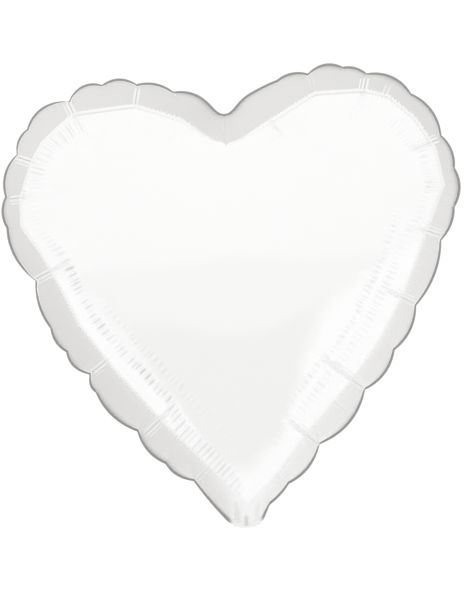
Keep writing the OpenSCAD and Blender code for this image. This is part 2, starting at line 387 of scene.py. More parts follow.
def shoulder_line(st):
    """Distance from the seam to the shoulder at each station. The shoulder's corners are joined
    by straight lines: the answer is where the line straight in from the station meets the one
    between its two corners. Along the fold it is the straight blend between its two ends."""
    marks = [(1, *mark) for mark in RIGHT_CORNERS] + [(-1, *mark) for mark in LEFT_CORNERS[::-1]]
    places = [percent_place(st, side, percent) for side, percent, _ in marks] + [st["total"]]
    at = [station_at(st, side, percent) for side, percent, _ in marks] + [0]
    depth = np.array([*(mark[2] for mark in marks), RIGHT_CORNERS[0][1]]) * MM
    corners = st["place"][at] - st["side"][at] * depth[:, None]
    i = np.clip(np.searchsorted(places, st["u"], side="right") - 1, 0, len(places) - 2)
    run = corners[i + 1] - corners[i]
    side, gap = st["side"], st["place"] - corners[i]
    line = (gap[:, 0] * run[:, 1] - gap[:, 1] * run[:, 0]) \
        / (side[:, 0] * run[:, 1] - side[:, 1] * run[:, 0])
    low, high = np.minimum(depth[i], depth[i + 1]), np.maximum(depth[i], depth[i + 1])
    line = np.clip(line, 0.7 * low, 1.25 * high)
    rest = ~st["fold"]
    return np.interp(st["u"], st["u"][rest], line[rest])


def shoulder_shape(st, line, swell):
    """Height of the shoulder at each station and the distance over which it fades, so that the
    side is steeper than STEEP just before its line and flatter than FACE just past it."""
    place, out = st["place"], st["out"]
    aside = np.stack([-out[:, 1], out[:, 0]], axis=1)
    inside = place - out * line[:, None]
    inward, outward, right, left = (
        swell * measure(inside + way * MM, st["loop"])["swell"]
        for way in (-out, out, aside, -aside))
    rise, lean = (inward - outward) / (2 * MM), (right - left) / (2 * MM)
    lean = np.minimum(np.abs(lean), MOST_LEAN)
    steep, face = (np.sqrt(math.tan(math.radians(slope))**2 - lean**2) for slope in (STEEP, FACE))
    before, after = (np.clip(added, least, MOST_SLOPE)
                     for added, least in zip((steep - rise, rise - face), LEAST_SLOPES))
    height = np.maximum(before * line, after * SHORT_FADE)
    fade = np.clip(height / after, SHORT_FADE, LONG_FADE)
    by_cleft = smooth_step(np.minimum(st["u"], st["total"] - st["u"]), 60 * MM, 30 * MM)
    return [even_out(numbers, EVEN) * (1 - by_cleft) + even_out(numbers, EVEN_AT_CLEFT) * by_cleft
            for numbers in (height, fade)]


def even_out(numbers, reach):
    """Each number's mean with its neighbours round the loop, reach of them to each side."""
    return sum(np.roll(numbers, k) for k in range(-reach, reach + 1)) / (2 * reach + 1)


def smooth_noise(u, total, count, rng):
    """A smooth random curve round the loop: draws at count equally spaced places, joined by
    cosine interpolation, between -1 and 1."""
    draws = rng.uniform(-1, 1, count)
    x = u / total * count
    i = np.floor(x).astype(int)
    t = (1 - np.cos((x - i) * np.pi)) / 2
    return draws[i % count] * (1 - t) + draws[(i + 1) % count] * t


# Distances past the shoulder in mm from which and to which rows of puckers come in and go out
FINE_IN, FINE_OUT = (-1, 2), (19, 9)
LACE_IN, LACE_OUT = (26, 28.5), (33.5, 31)
ROW_FADE = 3.5

# Rings of vertices: shares of the way from the seam to the shoulder; steps past it in mm; shares
# of what is then left of the way to the crown. STRIDES gives the stations per vertex at each.
BEFORE = np.array([0, 0.015, 0.045, 0.1, 0.17, 0.26, 0.36, 0.47, 0.58, 0.69, 0.79, 0.88, 0.95, 1])
PAST = np.array([0.6, 1.3, 2.2, 3.6, 6, 9, 12, 15, 18, 20, 22, 24, 26, 28, 30, 33,
                 37, 41.5, 45.5]) * MM
BEYOND = np.array([0.07, 0.15, 0.24, 0.34, 0.45, 0.57, 0.7, 0.82, 0.92])
STRIDES = [1] * (len(BEFORE) + 16) + [2] * 3 + [4] * 3 + [8] * 3 + [16, 16, 32]


def ring_distances(line, reach):
    """Distance of each ring from the seam along each station's way to the crown."""
    line, left = line[:, None], (reach - line - PAST[-1])[:, None]
    return np.hstack([line * BEFORE, line + PAST, line + PAST[-1] + left * BEYOND])


# In mm: half the width of the strip that a crease reaches, how far aside its two grooves lie, and
# half the width of its valley with the run over which that fades
CREASE_HALF, GROOVE_ASIDE, VALLEY_HALF, VALLEY_RUN = 9.0, 1.5, 4.2, 20


def crease_field(st, flat, half, side_d, film):
    """Depth of the deep creases, square to the outline at their pleats: a pair of narrow shallow
    grooves in a wider valley, fading towards the seam and past their reach. With it come, for
    the material to paint their highlight and shade lines by, the distance sideways from the
    nearest crease in mm and its strength there."""
    depth, strong = np.zeros(len(flat)), np.zeros(len(flat))
    aside = np.full(len(flat), CREASE_HALF)
    for side, creases in ((1, RIGHT_CREASES), (-1, LEFT_CREASES)):
        for percent, reach, strength in creases:
            i = station_at(st, side, percent)
            out = st["out"][i]
            off = (flat - st["place"][i]) / MM
            x, dd = off @ (-out[1], out[0]), -(off @ out)
            own = (half == side) | (percent == 0)
            here = own & (np.abs(x) < CREASE_HALF) \
                & (np.maximum(dd, side_d / MM) < 1.2 * reach)
            x, dd = x[here], dd[here]
            inward = smooth_step(dd, 5, 11) * smooth_step(dd, 1.1 * reach, 0.6 * reach)
            wide = 0.62 + dd / 90
            pair = np.exp(-((np.abs(x) - GROOVE_ASIDE) / wide)**2)
            valley = 0.7 * np.exp(-(x / VALLEY_HALF)**2 - np.maximum(dd, 0) / VALLEY_RUN)
            depth[here] += film.crease_depth * strength * (0.3 * pair * inward + valley)
            shown = strength * inward * smooth_step(np.abs(x), 8, 6)
            aside[here] = np.where(shown >= strong[here], x, aside[here])
            strong[here] = np.maximum(strong[here], shown)
    return depth, aside, strong


def pucker_field(st, u, past, lone, along, film, seed):
    """Depth of the puckers: rounded ridges between sharp valleys, square to the outline. Fine
    ones, at half the pitch, run in from the shoulder; long ones lie in two rows farther in. With
    it come, for the material to paint its shade strokes and highlights by, the strengths of both
    and their phase."""
    rng = np.random.default_rng(seed)
    total = st["total"]
    count = round(total / film.pucker_pitch)

    def noise(strength, part):
        return strength * smooth_noise(u, total, count // part, rng)

    wander = noise(0.3, 2) + noise(0.8, 6)
    phase = np.pi * (u / total * count + wander)
    uneven = (0.75 + noise(0.4, 1) + noise(0.35, 5)) * lone
    shift = noise(1.0, 1) + noise(1.8, 9)
    past = past / MM
    start, end, from_line = along["start"], along["end"], past - shift
    fine = along["fine"] * uneven * smooth_step(past, *FINE_IN) \
        * smooth_step(past, FINE_OUT[0] + shift, FINE_OUT[1])
    row = smooth_step(from_line, start, start + ROW_FADE) \
        * smooth_step(from_line, end, end - ROW_FADE)
    lace = smooth_step(from_line, *LACE_IN) * smooth_step(from_line, *LACE_OUT)
    long = (along["long"] * row + along["lace"] * lace) * uneven
    depth = 0.3 * (1 - np.abs(np.sin(2 * phase))) * fine \
        + 0.7 * (1 - np.abs(np.sin(phase))) * long
    return film.pucker_depth * depth, fine, long, phase


def neck_field(flat):
    """Depth of the folds that run up from the neck, and their painted shade, by which the material
    darkens the colour: a narrow one in the middle that ends low, and two wide ones beside it that
    fade upward."""
    x, z = flat[:, 0] / MM, flat[:, 1] / MM
    middle = np.exp(-((x + 0.7) / 1.7)**2) * smooth_step(z, 11, 6)
    sides = sum(np.exp(-((x - at * (1 + z / 45)) / 2.4)**2) for at in (-7, 8)) \
        * smooth_step(z, 0, 6) * smooth_step(z, 26, 14)
    return (0.7 * middle * smooth_step(z, 0, 4) + 0.5 * sides) * MM, middle + 0.25 * sides


def at_places(st, table, u):
    """The stations' numbers in a table, at the places u."""
    return np.interp(u, st["u"], table, period=st["total"])


def shoulder_rise(st, m, line, height, fade):
    """How far the shoulder lifts the film above its smooth swell: height times the share of the
    way to its line, and past the line times a falling exponential of the distance over the fade.
    The lifts of the two halves blend where both are near."""
    rises = []
    for reach, foot in zip(m["reach"], (m["foot"][0], st["total"] - m["foot"][1])):
        at_line = at_places(st, line, foot)
        rises.append(at_places(st, height, foot) * np.where(
            reach < at_line, reach / at_line,
            np.exp(-np.maximum(reach - at_line, 0) / at_places(st, fade, foot))))
    apart = np.minimum(50 * MM, 0.8 * m["reach"].sum(axis=0)) \
        * smooth_step(m["foot"].sum(axis=0), 30 * MM, 200 * MM)
    share = smooth_step((m["reach"][0] - m["reach"][1]) / np.maximum(apart, 1e-6), -1, 1)
    return rises[0] * (1 - share) + rises[1] * share


# Distances from the seam in mm from which and to which the shoulder's rise ends, and by the cleft
RISE_OUT, CLEFT_OUT = (95, 45), (66, 32)
# Places in mm, aside and up, from which and to which the back has no such rise, under the tail
LOW_BACK_X, LOW_BACK_Z = (34, 14), (85, 50)
PLEAT_RUN, PLEAT_SPREAD = 18 * MM, 2.6  # least run inwards of a pleat, and run by its depth


def panel_grid(size, film, side):
    """The outer face of a panel that swells towards +Y: a grid of stations by rings."""
    st = stations(size)
    crown = np.array([CROWN[0] * size.heart_w, CROWN[1] * size.heart_h])
    at_crown = measure(crown[None], st["loop"])
    top = size.heart_d / 2 - size.foil_t
    swell = top / at_crown["swell"][0]
    line = shoulder_line(st)
    height, fade = shoulder_shape(st, line, swell)

    reach = np.hypot(*(crown - st["place"]).T)
    spoke = unit(crown - st["place"])
    slant = np.maximum(-(spoke * st["out"]).sum(axis=1), 0.7)
    away = ring_distances(line / slant, reach)
    smooth = st["place"][:, None] + spoke[:, None] * away[..., None]
    flat = smooth.reshape(-1, 2)
    m = measure(flat, st["loop"])
    half = np.where(m["reach"][0] < m["reach"][1], 1, -1)
    side_d = m["reach"].min(axis=0)
    foot = np.where(half > 0, m["foot"][0], st["total"] - m["foot"][1]) % st["total"]
    lone = np.maximum(smooth_step(np.abs(m["reach"][0] - m["reach"][1]), 0, 9 * MM),
                      smooth_step(m["foot"].sum(axis=0), 24 * MM, 10 * MM))

    past = side_d - at_places(st, line, foot)
    stand = shoulder_rise(st, m, line, height, fade)
    by_cleft = smooth_step(np.minimum(foot, st["total"] - foot), 100 * MM, 60 * MM)
    out, end = (usual + (close - usual) * by_cleft for usual, close in zip(RISE_OUT, CLEFT_OUT))
    stand *= smooth_step(side_d / MM, out, end)
    if side > 0:
        stand *= 1 - smooth_step(np.abs(flat[:, 0]) / MM, *LOW_BACK_X) \
            * smooth_step(flat[:, 1] / MM, *LOW_BACK_Z)
    rise = swell * m["swell"] + stand * np.minimum(1, 1.6 * neck_opening(flat[:, 1]))
    rise = rise.reshape(away.shape)
    rise[:, 0] = 0

    d = m["near"].reshape(away.shape)
    lift = np.where(np.abs(smooth[..., 0]) < size.neck_w / 2, size.ply_t, 0)
    fade_run = np.maximum(PLEAT_RUN, PLEAT_SPREAD * np.abs(st["bulge"]))[:, None]
    shift = (st["bulge"][:, None] - size.seam_w) * np.maximum(0, 1 - d / fade_run)**2
    xz = smooth + st["out"][:, None] * shift[..., None]
    base = lifted(xz, np.maximum(rise, lift) + size.foil_t)
    round_it = np.roll(base, -1, axis=0) - np.roll(base, 1, axis=0)
    normal = np.cross(np.gradient(base, axis=1), round_it)
    normal /= np.maximum(np.linalg.norm(normal, axis=-1, keepdims=True), 1e-12)
    normal[normal[..., 1] < 0] *= -1

    along = {name: by_percent(st, *tables, foot) for name, tables in ALONG.items()}
    depth, aside, strong = crease_field(st, flat, half, side_d, film)
    puckers, fine, long, phase = pucker_field(
        st, foot, past, lone, along, film, film.seed + (side > 0))
    folds, shade = neck_field(flat)
    depth = (depth + puckers + folds).reshape(away.shape) * smooth_step(d, 0.5 * MM, 6 * MM)
    grid = base - normal * depth[..., None]
    grid[..., 1] = np.maximum(grid[..., 1], size.foil_t)
    # Masks the material paints its highlights and shade from; shade is the painted shade of the
    # neck's folds
    masks = {"crease_x": aside, "crease_on": strong, "past": past / MM, "phase": phase,
             "fine": fine, "long": long, "rim": along["rim"] * lone, "ragged": along["ragged"],
             "painted_inner_shade": along["painted_inner_shade"] * lone, "shade": shade}
    masks = {name: numbers.reshape(away.shape) for name, numbers in masks.items()}
    return st, grid, d, crown, top + size.foil_t, masks


def lifted(xz, y):
    """Points at the places x, z with the depths y."""
    return np.stack([xz[..., 0], y, xz[..., 1]], axis=-1)


def turned(faces):
    """The faces with their corners in the opposite order."""
    return [corners[:, ::-1] for corners in faces]


def ring_faces(rings):
    """Faces between rings of vertex numbers. Two rings of the same length are joined by quads,
    and where the next ring has half as many, by three triangles for each of its steps."""
    quads, tris = [], []
    for a, b in zip(rings, rings[1:]):
        a2, b2 = np.roll(a, -1), np.roll(b, -1)
        if len(a) == len(b):
            quads.append(np.stack([a, a2, b2, b], axis=1))
        else:
            p, q, r = a[::2], a[1::2], a2[1::2]
            tris += [np.stack(t, axis=1) for t in ((p, q, b), (q, b2, b), (q, r, b2))]
    return quads, tris


def fan(ring, pole):
    """Triangles from a ring to one vertex."""
    return np.stack([ring, np.roll(ring, -1), np.full(len(ring), pole)], axis=1)


def mesh_object(name, points, quads, tris, masks):
    """A smooth-shaded mesh object from whole arrays of points and faces, with one number for
    each vertex in each of its named masks."""
    faces = [*quads, *tris]
    total = np.concatenate([np.full(len(f), f.shape[1]) for f in faces])
    mesh = bpy.data.meshes.new(name)
    mesh.vertices.add(len(points))
    mesh.vertices.foreach_set("co", points.astype(np.float32).ravel())
    mesh.loops.add(int(total.sum()))
    corners = np.concatenate([f.ravel() for f in faces]).astype(np.int32)
    mesh.loops.foreach_set("vertex_index", corners)
    mesh.polygons.add(len(total))
    mesh.polygons.foreach_set(
        "loop_start", np.concatenate([[0], np.cumsum(total)[:-1]]).astype(np.int32))
    mesh.polygons.foreach_set("use_smooth", np.ones(len(total), dtype=bool))
    for mask, numbers in masks.items():
        layer = mesh.attributes.new(mask, "FLOAT", "POINT")
        layer.data.foreach_set("value", numbers.astype(np.float32))
    mesh.update(calc_edges=True)
    mesh.validate()
    piece = bpy.data.objects.new(name, mesh)
    bpy.context.scene.collection.objects.link(piece)
    return piece


EDGE_TURNS = 2           # steps round the seam's rounded edge
INNER_STRIDE = 8         # stations per vertex of the inner face
FOLD_TONE = 7.0          # distance in mm from the cut edge whose tone the fold has, a light painted shade
INNER_RINGS = [3, 6, 9, 12, 15, 19, 23, 27, 30, 32, 34, 36, 38, 40]  # those of the outer face
BLANK = {"past": -99.0}  # masks that aren't 0 where the film has no puckers
FAR_IN = 10.0            # a distance in mm from the cut edge past which the film has one tone


def heart_panel(name, side, size, film):
    """One panel of the heart with its wall, closed: the rounded edge, the seam, the outer face
    with its creases, the crown, and back along a smooth inner face."""
    st, grid, d, crown, top, masks = panel_grid(size, film, side)
    place, out, cut = st["place"], st["out"], st["cut"]
    rings, points = [], []
    values = {mask: [] for mask in ("edge", *masks)}
    count = 0

    def add(ring_points, edge, k=None, picked=None):
        nonlocal count
        rings.append(np.arange(count, count + len(ring_points)))
        points.append(ring_points)
        values["edge"].append(np.broadcast_to(edge, len(ring_points)))
        for mask, table in masks.items():
            numbers = BLANK.get(mask, 0.0) if k is None else table[picked, k]
            values[mask].append(np.broadcast_to(numbers, len(ring_points)))
        count += len(ring_points)

    # Distance from the cut edge that sets the bare silver and the painted edge shade; along the
    # fold, which has no cut edge, never below FOLD_TONE
    def from_edge(distance, picked=slice(None)):
        near_fold = cut[picked] * distance + (1 - cut[picked]) * FOLD_TONE
        return np.maximum(distance, near_fold)

    first = grid[:, 0]
    outermost = place + out * st["bulge"][:, None]
    for k in range(EDGE_TURNS + 1):
        turn = math.pi / 2 * k / EDGE_TURNS
        r = first[:, 1]
        xz = outermost - out * (r * (1 - math.cos(turn)))[:, None]
        add(lifted(xz, r * math.sin(turn)), from_edge(r / MM * (1 - math.cos(turn))))
    middle = (outermost + first[:, [0, 2]]) / 2
    add(lifted(middle, first[:, 1] + 0.05 * MM * cut), from_edge(size.seam_w / MM / 2))
    for k, stride in enumerate(STRIDES):
        picked = slice(None, None, stride)
        add(grid[picked, k], from_edge((size.seam_w + d[picked, k]) / MM, picked), k, picked)
    add(np.array([[crown[0], top, crown[1]]]), FAR_IN)
    outer_pole = rings.pop()[0]
    quads, tris = ring_faces(rings)
    tris.append(fan(rings[-1], outer_pole))

    rings = [rings[0]]
    for k, stride in enumerate((2, 4, INNER_STRIDE), 1):
        picked = slice(None, None, stride)
        share = k / 3.5
        xz = outermost[picked] * (1 - share) + first[picked][:, [0, 2]] * share
        add(lifted(xz, np.zeros(len(xz))), FAR_IN)
    for k in INNER_RINGS:
        p = grid[::INNER_STRIDE, k].copy()
        slack = (0.5 + 2.2 * np.exp(-d[::INNER_STRIDE, k] / (25 * MM))) * MM
        p[:, [0, 2]] += unit(crown - p[:, [0, 2]]) * slack[:, None] * 0.7
        p[:, 1] = np.maximum(p[:, 1] - slack, 0.02 * MM)
        add(p, FAR_IN)
    add(np.array([[crown[0], top - size.foil_t, crown[1]]]), FAR_IN)
    inner_pole = rings.pop()[0]
    inner_quads, inner_tris = ring_faces(rings)
    inner_tris.append(fan(rings[-1], inner_pole))
    quads, tris = quads + turned(inner_quads), tris + turned(inner_tris)
    points = np.vstack(points)
    if side < 0:
        points[:, 1] *= -1
        quads, tris = turned(quads), turned(tris)
    return mesh_object(name, points, quads, tris,
                       {mask: np.concatenate(numbers) for mask, numbers in values.items()})


# ---- neck, tail and valve

FOLD_ANGLE = math.radians(132)  # from hanging straight down to folded behind the heart
TAIL_END = 65 * MM        # from the fold line to the end of the tail
TAIL_CORNER = 3 * MM      # radius of its rounded corners
VALVE_SEAM = 1.5 * MM     # side seams of the tail, outside the valve
VALVE_END = 60 * MM       # from the fold line to the valve's outer end, in the tail
VALVE_TOP = 90 * MM       # from the fold line to its inner end, in the heart
VALVE_CORNER = 4 * MM     # radius of its rounded corners
CORNER_STEPS = 12         # points of such a corner
PLY_LAYER = (0.02 * MM, 0.95)  # inner face of a ply, and outer one as a share of its thickness
INLET = (50 * MM, 5 * MM)  # distance of the inlet hole from the fold line, and its radius
STRIP_SHARES = np.array([0, 0.02, 0.08, 0.2, 0.35, 0.5, 0.65, 0.78, 0.88, 0.94, 0.975, 1])
STRIP_COUNT = 256         # vertices round a strip's outline
POINT_SIZE = 0.4 * MM     # radius of the circle round which a strip without a hole closes


def strip_outline(width, end, corner, count):
    """Outline of a strip that starts at the fold, as x and distance from the fold: equally far
    apart along a rectangle whose two far corners are quarter circles."""
    turn = np.linspace(0, math.pi / 2, CORNER_STEPS)
    w = width / 2
    right = np.stack([w - corner + corner * np.cos(turn), end - corner + corner * np.sin(turn)], 1)
    path = np.vstack([[(0, 0), (w, 0)], right, right[::-1] * (-1, 1), [(-w, 0), (0, 0)]])
    run = run_along(path)
    return lookup(np.arange(count) / count * run[-1], run, path)


def ripple(x, far, half_width):
    """How far the limp film stands off its plane: a low wave along it and one across."""
    along = np.sin(far / (17 * MM) + 0.6) * smooth_step(far, 4 * MM, 22 * MM)
    return 0.22 * MM * (along + 0.6 * np.sin(2.2 * x / half_width + far / (23 * MM)) * along)


def film_strip(name, width, end, corner, layer, hole=None, down=True):
    """A closed strip of film between the offsets layer[0] and layer[1] from the middle plane.

    Its outer and inner faces are rings round the hole, or round a point: each is the straight
    blend between a small circle and the outline. Below the hinge, the strip hangs from the fold
    and is turned about it into its folded place.
    """
    rim = strip_outline(width, end, corner, STRIP_COUNT)
    far_centre, radius = hole or (end * 0.55, POINT_SIZE)
    centre = np.array([0, far_centre])
    circle = centre + radius * unit(rim - centre)
    flat = circle + (rim - circle) * STRIP_SHARES[:, None, None]
    x, far = flat[..., 0], flat[..., 1]
    from_side = np.minimum(width / 2 - np.abs(x), end - far)
    from_hole = np.hypot(x, far - far_centre) - radius if hole else np.full_like(x, 1.0)
    thin = 1 - 0.35 * smooth_step(from_side, 1.7 * MM, 0.1 * MM) * (far > 4 * MM)
    rounded = np.sqrt(np.clip(np.minimum(from_side, from_hole + 0.02 * MM) / (0.25 * MM), 0.05, 1))
    wave = ripple(x, far, width / 2)
    x = x * (1 - 0.12 * np.clip(1 - far / (5 * MM), 0, 1)**2)
    near, away = layer
    middle = (near + away) / 2
    points = []
    for offset in (away, near):
        y = middle + (offset - middle) * rounded
        y = np.where(np.abs(offset) > np.abs(middle), y * thin, y) + wave
        points.append(np.stack([x, y, -far if down else far], axis=-1))
    points = np.concatenate(points).reshape(-1, 3)
    number = np.arange(len(points)).reshape(2, len(STRIP_SHARES), STRIP_COUNT)
    rings = [*number[0], *number[1][::-1]]
    if hole:
        rings.append(rings[0])
    quads, tris = ring_faces(rings)
    if not hole:
        tris = [fan(rings[0], len(points)), fan(rings[-1], len(points) + 1)]
        points = np.vstack([points, *(points[number[i][:1]].mean(axis=1) for i in (0, 1))])
    if down:
        points = points @ np.array(Matrix.Rotation(FOLD_ANGLE, 3, "X")).T
    # Distance from the cut edge that sets the bare silver and the painted edge shade along the
    # tail's sides
    edge = np.where(far < 1.5 * MM, FAR_IN, from_side / MM + 0.4)
    edge = np.append(np.tile(edge.ravel(), 2), [FAR_IN] * (len(points) - 2 * edge.size))
    inner = np.zeros(len(points))
    inner[number[int(abs(near) < abs(away))]] = 1
    piece = mesh_object(name, points, quads, tris, {"edge": edge, "inside": inner})
    face_outwards(piece)
    return piece


def face_outwards(piece):
    """Turns the faces of a closed mesh outwards, so that the volume they enclose is positive."""
    shell = bmesh.new()
    shell.from_mesh(piece.data)
    bmesh.ops.recalc_face_normals(shell, faces=shell.faces)
    if shell.calc_volume(signed=True) < 0:
        bmesh.ops.reverse_faces(shell, faces=shell.faces)
    shell.to_mesh(piece.data)
    shell.free()


# ---- materials

class Value:
    """A node's output that is reckoned with like a number: each step adds a math node."""

    def __init__(self, socket):
        self.socket = socket

    def reckon(self, operation, *values):
        """The operation on the values, or on this one alone where none is given."""
        node = add_node(self.socket.id_data, "Math")
        node.operation = operation
        for socket, value in zip(node.inputs, values or (self,)):
            plug(value, socket)
        return Value(node.outputs[0])

    def __add__(self, other):
        return self.reckon("ADD", self, other)

    def __sub__(self, other):
        return self.reckon("SUBTRACT", self, other)

    def __rsub__(self, other):
        return self.reckon("SUBTRACT", other, self)

    def __mul__(self, other):
        return self.reckon("MULTIPLY", self, other)

    def __truediv__(self, other):
        return self.reckon("DIVIDE", self, other)

    def __abs__(self):
        return self.reckon("ABSOLUTE")

    def sine(self):
        return self.reckon("SINE")

    def at_least(self, other):
        """The higher of the two."""
        return self.reckon("MAXIMUM", self, other)

    def brought(self, low, high, to_low=0.0, to_high=1.0, kind="LINEAR"):
        """Brings low..high to to_low..to_high, clamped at both ends."""
        node = add_node(self.socket.id_data, "MapRange", {
            "Value": self, "From Min": low, "From Max": high, "To Min": to_low,
            "To Max": to_high})
        node.interpolation_type = kind
        return Value(node.outputs["Result"])

    def step(self, low, high):
        """A smooth S from 0 at low to 1 at high, whichever is higher."""
        return self.brought(low, high, kind="SMOOTHSTEP")


def plug(value, socket):
    """Gives a socket a number, a colour or another node's output."""
    if isinstance(value, Value):
        value = value.socket
    if isinstance(value, bpy.types.NodeSocket):
        socket.id_data.links.new(value, socket)
    else:
        socket.default_value = value


def add_node(tree, kind, inputs=None):
    """Adds a shader node and fills its named inputs."""
    node = tree.nodes.new("ShaderNode" + kind)
    for name, value in (inputs or {}).items():
        plug(value, node.inputs[name])
    return node


def new_material(name):
    """A new material, its node tree and its shader."""
    material = bpy.data.materials.new(name)
    material.use_nodes = True
    return material, material.node_tree, material.node_tree.nodes["Principled BSDF"]


def object_noise(tree, scale):
    """Soft noise over a piece's own coordinates, and those coordinates."""
    place = add_node(tree, "TexCoord").outputs["Object"]
    return Value(add_node(tree, "TexNoise", {"Scale": scale, "Vector": place}).outputs[0]), place


def blend(tree, kind, factor, a, b):
    """The mix of two colours, b being a plain one."""
    node = add_node(tree, "Mix")
    node.data_type = "RGBA"
    node.blend_type = kind
    for name, value in (("Factor", factor), ("A", a), ("B", (*b, 1))):
        plug(value, node.inputs[name])
    return node.outputs["Result"]


def film_grain():
    """The node group for the grain of stretched film, made once: a change of roughness and a
    bumped normal from fine noise in the given coordinates."""
    name = "film grain"
    if name in bpy.data.node_groups:
        return bpy.data.node_groups[name]
    group = bpy.data.node_groups.new(name, "ShaderNodeTree")
    for label, way, kind in (
            ("Vector", "INPUT", "Vector"), ("Scale", "INPUT", "Float"),
            ("Roughness", "INPUT", "Float"), ("Amount", "INPUT", "Float"),
            ("Bump", "INPUT", "Float"), ("Roughness", "OUTPUT", "Float"),
            ("Normal", "OUTPUT", "Vector")):
        group.interface.new_socket(name=label, in_out=way, socket_type="NodeSocket" + kind)
    given = group.nodes.new("NodeGroupInput").outputs
    answer = group.nodes.new("NodeGroupOutput").inputs
    noise = add_node(group, "TexNoise", {
        "Detail": 3, "Vector": given["Vector"], "Scale": given["Scale"]}).outputs["Fac"]
    swing = (Value(noise) - 0.5) * 2.0 * given["Amount"]
    plug(swing + given["Roughness"], answer["Roughness"])
    bump = add_node(group, "Bump", {
        "Distance": 0.0005, "Strength": given["Bump"], "Height": noise})
    plug(bump.outputs["Normal"], answer["Normal"])
    return group


def add_grain(tree, shader, **settings):
    """Drives the shader's roughness and normal with the film's grain."""
    grain = add_node(tree, "Group")
    grain.node_tree = film_grain()
    plug(add_node(tree, "TexCoord").outputs["Object"], grain.inputs["Vector"])
    for label, value in settings.items():
        plug(value, grain.inputs[label])
    for label in ("Roughness", "Normal"):
        plug(grain.outputs[label], shader.inputs[label])


def crease_lines(read):
    """Masks of the creases: two painted highlight lines 1.6 mm to each side of each, a third
    beside strong ones, and a painted shade line between the two."""
    aside, strong = read("crease_x"), read("crease_on")
    pair = abs(abs(aside) - 1.6).step(1.25, 0.5)
    third = abs(aside - 4.6).step(0.8, 0.2) * strong.step(0.8, 1.0)
    return pair.at_least(third) * strong.step(0.1, 0.8), abs(aside).step(0.6, 0.2) * strong


def pucker_lines(read):
    """Masks of the puckers' lines: the painted highlight line along the shoulder, ragged in
    places, with a painted shade line just inside it, and painted shade strokes in the valleys of
    the fine and the long puckers with painted highlights on the long ones' ridges."""
    phase, past, fine, long, ragged, rim, painted_inner_shade = map(
        read, ("phase", "past", "fine", "long", "ragged", "rim", "painted_inner_shade"))
    teeth = (phase * 4.0).sine()
    notch = (teeth + (phase * 2.6).sine()) * ragged * 0.55
    rim = (past + notch).step(-1.5, -0.7) * past.step(2.0, 0.8) * rim
    gaps = teeth.step(0.3, -0.3) * ragged
    inner = abs(past - 2.3).step(1.0, 0.4) * painted_inner_shade * (1.0 - gaps)
    wave, ripple = abs(phase.sine()), abs((phase * 2.0).sine())
    strokes, ridges = wave.step(0.65, 0.25) * long, wave.step(0.7, 0.95) * long
    short = ripple.step(0.75, 0.2) * (fine * fine)
    return rim.at_least(ridges * 0.7), strokes.at_least(short * 0.7).at_least(inner * 0.8)


def white_foil(colours):
    """White printed foil: glossy over a metal layer, bare silver along the cut edge of the seam
    with painted shade that greys the foil for a few mm inside it, painted highlights where it
    turns matt and not metal along its creases, ridges and shoulder line, and painted shade in its
    folds and in the valleys of its creases and puckers."""
    material, tree, shader = new_material("white printed foil")

    def read(name):
        node = add_node(tree, "Attribute")
        node.attribute_name = name
        return Value(node.outputs["Fac"])

    # Bare silver on the seam's cut edge, then painted shade: a grey that fades to white over the
    # next 5 mm inside the seam, where the side turns away from the light
    edge_silver_and_shade = add_node(tree, "ValToRGB", {"Fac": read("edge").brought(0, 10)})
    stops = [(0.0, (0.45, 0.445, 0.44)), (0.1, colours.silver), (0.2, colours.silver),
             (0.32, (0.56, 0.555, 0.55)), (0.5, (0.82, 0.815, 0.81)), (0.75, colours.white)]
    while len(edge_silver_and_shade.color_ramp.elements) < len(stops):
        edge_silver_and_shade.color_ramp.elements.new(0.5)
    for element, (at, tone) in zip(edge_silver_and_shade.color_ramp.elements, stops):
        element.position = at
        element.color = (*tone, 1)
    crease, valley = crease_lines(read)
    pucker_highlight, pucker_shade = pucker_lines(read)
    painted_highlight = crease.at_least(pucker_highlight)
    # Painted shade: the crease valleys, the pucker valleys, the line just inside the shoulder and
    # the neck's folds darken the base colour
    painted_shade = (valley * 0.7).at_least(pucker_shade).at_least(read("shade"))
    face = blend(tree, "MIX", read("inside"), edge_silver_and_shade.outputs["Color"], colours.lining)
    plug(blend(tree, "MULTIPLY", painted_shade, face, (0.74, 0.74, 0.74)), shader.inputs["Base Color"])
    # Painted highlight: along these lines the foil loses its metal and turns matt, so it shows
    # lighter than the grey it reflects elsewhere
    plug(painted_highlight.brought(0, 1, 0.5, 0.0), shader.inputs["Metallic"])
    add_grain(tree, shader, Scale=500, Roughness=painted_highlight.brought(0, 1, 0.10, 0.4), Amount=0.03,
              Bump=0.006)
    return material


def clear_film(colours):
    """Clear valve film, a little hazy in soft streaks."""
    material, tree, shader = new_material("clear valve film")
    shader.inputs["Base Color"].default_value = (*colours.clear, 1)
    plug(object_noise(tree, 60)[0].brought(0.35, 0.65, 0.40, 0.60), shader.inputs["Alpha"])
    add_grain(tree, shader, Scale=900, Roughness=0.15, Amount=0.06, Bump=0.03)
    return material


def pale_floor(reach):
    """Pale matt floor with a faint mottle that fades out towards its rim."""
    material, tree, shader = new_material("pale floor")
    mottle, place = object_noise(tree, 9)
    away = add_node(tree, "VectorMath")
    away.operation = "LENGTH"
    plug(place, away.inputs[0])
    fade = Value(away.outputs["Value"]).brought(0.45 * reach, reach, 1.0, 0.0, "SMOOTHSTEP")
    plug(fade, shader.inputs["Alpha"])
    plug(blend(tree, "MIX", mottle, (0.83, 0.83, 0.83, 1), (0.87, 0.87, 0.87)),
         shader.inputs["Base Color"])
    shader.inputs["Roughness"].default_value = 0.8
    return material


BASE_TONE = 1.05          # the studio's white


